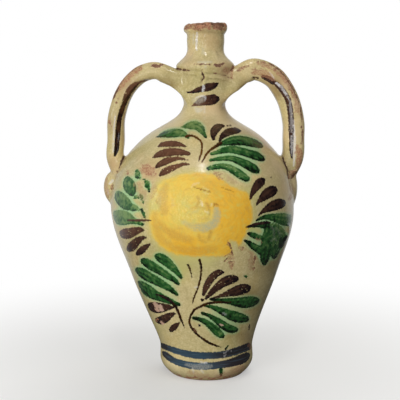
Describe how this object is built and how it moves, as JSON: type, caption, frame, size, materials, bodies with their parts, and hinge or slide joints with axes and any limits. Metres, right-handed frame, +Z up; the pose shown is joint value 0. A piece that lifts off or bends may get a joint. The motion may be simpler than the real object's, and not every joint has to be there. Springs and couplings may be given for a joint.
{
  "type": "ceramic water jug",
  "caption": "Tall egg-shaped glazed earthenware water jug with a narrow collared neck, a rolled lip and arched strap handles from throat to shoulder, for storing and pouring water.",
  "frame": {"origin": "centre of the flat underside of the foot, on the surface that the jug stands on", "axes": "+Z up along the jug's axis, X through the two handles, -Y the painted front"},
  "size_m": [0.2402, 0.22, 0.42],
  "materials": {
    "glazed_body": "cream glossy glaze over earthenware, painted by hand",
    "glazed_neck": "cream glossy glaze over earthenware",
    "worn_lip": "glaze worn down to bare terracotta",
    "glazed_handle": "cream glossy glaze with a brown stripe, bare terracotta along worn edges",
    "slip": "fired luting slip"
  },
  "bodies": {
    "root": {"foot": "glazed_body", "foot_slip": "slip", "lower_wall": "glazed_body", "belly_slip": "slip", "shoulder_wall": "glazed_body", "throat_slip": "slip", "neck_tube": "glazed_neck", "collar_coil": "glazed_neck", "lip_coil": "worn_lip", "left_handle": "glazed_handle", "left_root_slip": "slip", "left_heel_slip": "slip", "left_heel_pad": "glazed_handle", "right_handle": "glazed_handle", "right_root_slip": "slip", "right_heel_slip": "slip", "right_heel_pad": "glazed_handle"}
  },
  "joints": []
}
